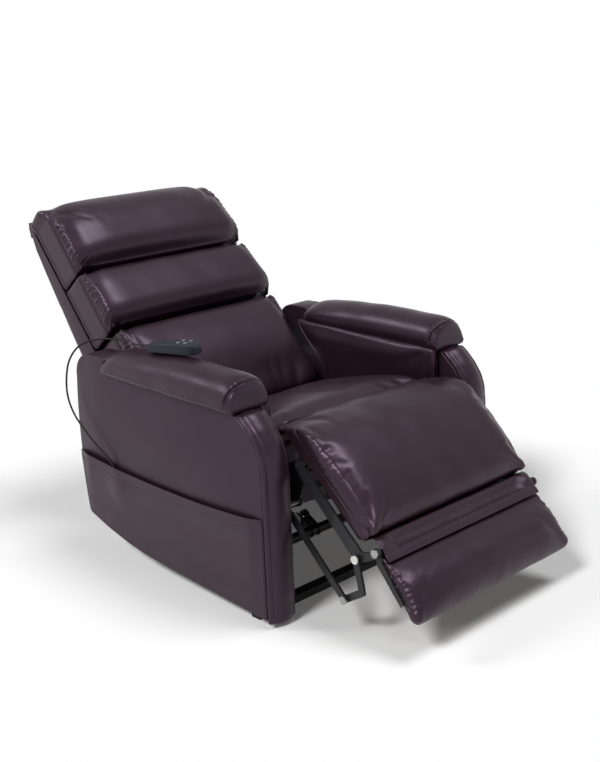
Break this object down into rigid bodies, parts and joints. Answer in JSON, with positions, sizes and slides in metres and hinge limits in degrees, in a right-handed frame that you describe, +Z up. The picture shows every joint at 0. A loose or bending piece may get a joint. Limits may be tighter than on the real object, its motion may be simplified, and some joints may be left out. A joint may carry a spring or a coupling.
{
  "type": "lift recliner chair",
  "caption": "Powered lift recliner chair with padded arms, three-part back, folding footrest, lift arms on a floor frame, side pocket and corded handset.",
  "frame": {"origin": "middle of the underside of the front floor tube", "axes": "-Y is the way the chair faces, +Z is up, +X is towards the sitter's left arm"},
  "size_m": [0.8436, 1.4681, 0.8986],
  "materials": {
    "black_steel": "satin black powder coat",
    "zinc_steel": "dull zinc plate",
    "rod_steel": "polished rod",
    "leather": "dark aubergine brown bonded leather",
    "leather_panel": "dark bonded leather on a panel",
    "vinyl": "matching vinyl",
    "board": "plain plywood",
    "black_plastic": "moulded black plastic",
    "handset": "dark slate",
    "button": "grey keypad",
    "nylon": "white nylon",
    "cord": "black cord"
  },
  "bodies": {
    "base": {"floor_frame": "black_steel", "floor_end_caps": "black_plastic", "floor_uprights": "black_steel", "lift_base_pins": "zinc_steel", "lift_motor_pin": "zinc_steel"},
    "rear_lift": {"rear_lift_arms": "black_steel"},
    "front_lift": {"front_lift_arms": "black_steel"},
    "chair": {"side_plates": "black_steel", "side_plate_pins": "zinc_steel", "cross_tubes": "black_steel", "front_seat_rail": "vinyl", "seat_deck": "board", "seat_front_roll": "leather", "seat_cushion": "leather", "arm_brackets": "black_steel", "arm_shell_right": "leather_panel", "arm_shell_left": "leather_panel", "arm_front_bands": "leather", "arm_pad_right": "leather", "arm_pad_left": "leather", "inner_arm_pads": "leather", "side_pocket": "leather_panel", "rear_panel": "vinyl", "control_box": "black_plastic", "recline_motor_pin": "zinc_steel", "handset_housing": "handset", "handset_strain_relief": "black_plastic", "handset_cord": "cord", "cord_boot": "black_plastic"},
    "back": {"back_frame": "black_steel", "back_brackets": "black_steel", "back_shell": "leather_panel", "head_cushion": "leather", "middle_cushion": "leather", "lumbar_cushion": "leather"},
    "legrest": {"leg_frame": "black_steel", "foot_hinge_pins": "zinc_steel", "calf_board": "board", "calf_pad": "leather", "foot_flap": "vinyl", "nylon_bushings": "nylon"},
    "foot": {"foot_side_arms": "black_steel", "foot_board": "board", "foot_pad": "leather", "foot_rails": "black_steel"},
    "upper_links": {"upper_leg_links": "black_steel", "link_elbow_pins": "zinc_steel"},
    "lower_links": {"lower_leg_links": "black_steel"},
    "lift_motor": {"lift_motor_housing": "black_plastic", "lift_motor_can": "black_plastic"},
    "lift_rod": {"lift_motor_rod": "rod_steel", "lift_rod_pin": "zinc_steel"},
    "recline_motor": {"recline_motor_housing": "black_plastic", "recline_motor_can": "black_plastic"},
    "recline_rod": {"recline_motor_rod": "rod_steel", "recline_rod_pin": "zinc_steel"},
    "button_back_down": {"button_back_down": "button"},
    "button_back_up": {"button_back_up": "button"},
    "button_seat_down": {"button_seat_down": "button"},
    "button_seat_up": {"button_seat_up": "button"}
  },
  "joints": [
    {"name": "lift", "type": "hinge", "parent": "base", "child": "rear_lift", "pos_m": [0, 0.2, 0.045], "axis": [1, 0, 0], "range_deg": [0, 62]},
    {"name": "chair_tilt", "type": "hinge", "parent": "rear_lift", "child": "chair", "pos_m": [0, 0.51, 0.122], "axis": [1, 0, 0], "range_deg": [-39.2, 0.4]},
    {"name": "front_lift_arm", "type": "hinge", "parent": "base", "child": "front_lift", "pos_m": [0, 0.23, 0.075], "axis": [1, 0, 0], "range_deg": [-0.5, 58.8]},
    {"name": "lift_motor_tilt", "type": "hinge", "parent": "base", "child": "lift_motor", "pos_m": [0, 0.64, 0.042], "axis": [1, 0, 0], "range_deg": [-4.2, 0.3]},
    {"name": "lift_motor_stroke", "type": "slide", "parent": "lift_motor", "child": "lift_rod", "axis": [0, -0.9975, 0.0711], "range_m": [-0.001, 0.0465]},
    {"name": "back_recline", "type": "hinge", "parent": "chair", "child": "back", "pos_m": [0, 0.545, 0.372], "axis": [-1, 0, 0], "range_deg": [-24, 10]},
    {"name": "recline_motor_tilt", "type": "hinge", "parent": "chair", "child": "recline_motor", "pos_m": [0, 0.15, 0.16], "axis": [1, 0, 0], "range_deg": [-0.6, 1.1]},
    {"name": "recline_motor_stroke", "type": "slide", "parent": "recline_motor", "child": "recline_rod", "axis": [0, 0.9977, 0.0673], "range_m": [-0.034, 0.079]},
    {"name": "legrest", "type": "hinge", "parent": "chair", "child": "legrest", "pos_m": [0, -0.068, 0.385], "axis": [-1, 0, 0], "range_deg": [-42, 6]},
    {"name": "foot_fold", "type": "hinge", "parent": "legrest", "child": "foot", "pos_m": [0, -0.31524, 0.235], "axis": [-1, 0, 0], "range_deg": [-110.5, 16], "deforming": ["foot_flap"]},
    {"name": "upper_link_swing", "type": "hinge", "parent": "chair", "child": "upper_links", "pos_m": [0, -0.035, 0.276], "axis": [-1, 0, 0], "range_deg": [-42.5, 6.5]},
    {"name": "link_elbow", "type": "hinge", "parent": "upper_links", "child": "lower_links", "pos_m": [0, -0.22617, 0.09656], "axis": [-1, 0, 0], "range_deg": [-6.5, 42.5]},
    {"name": "press_back_down", "type": "slide", "parent": "chair", "child": "button_back_down", "axis": [0.0145, -0.0593, -0.9981], "range_m": [0, 0.0012], "stiffness_N_per_m": 300, "springref_m": -0.002},
    {"name": "press_back_up", "type": "slide", "parent": "chair", "child": "button_back_up", "axis": [0.0145, -0.0593, -0.9981], "range_m": [0, 0.0012], "stiffness_N_per_m": 300, "springref_m": -0.002},
    {"name": "press_seat_down", "type": "slide", "parent": "chair", "child": "button_seat_down", "axis": [0.0145, -0.0593, -0.9981], "range_m": [0, 0.0012], "stiffness_N_per_m": 300, "springref_m": -0.002},
    {"name": "press_seat_up", "type": "slide", "parent": "chair", "child": "button_seat_up", "axis": [0.0145, -0.0593, -0.9981], "range_m": [0, 0.0012], "stiffness_N_per_m": 300, "springref_m": -0.002}
  ],
  "couplings": [
    {"joint": "chair_tilt", "follows": "lift", "ratio": -0.62603},
    {"joint": "front_lift_arm", "follows": "lift", "ratio": 0.93638},
    {"joint": "lift_motor_tilt", "follows": "lift", "ratio": -0.06},
    {"joint": "lift_motor_stroke", "follows": "lift", "m_per_rad": 0.042},
    {"joint": "recline_motor_tilt", "follows": "back_recline", "ratio": -0.035},
    {"joint": "recline_motor_stroke", "follows": "back_recline", "m_per_rad": -0.1835},
    {"joint": "foot_fold", "follows": "legrest", "ratio": 2.62},
    {"joint": "upper_link_swing", "follows": "legrest", "ratio": 1},
    {"joint": "link_elbow", "follows": "legrest", "ratio": -1}
  ]
}
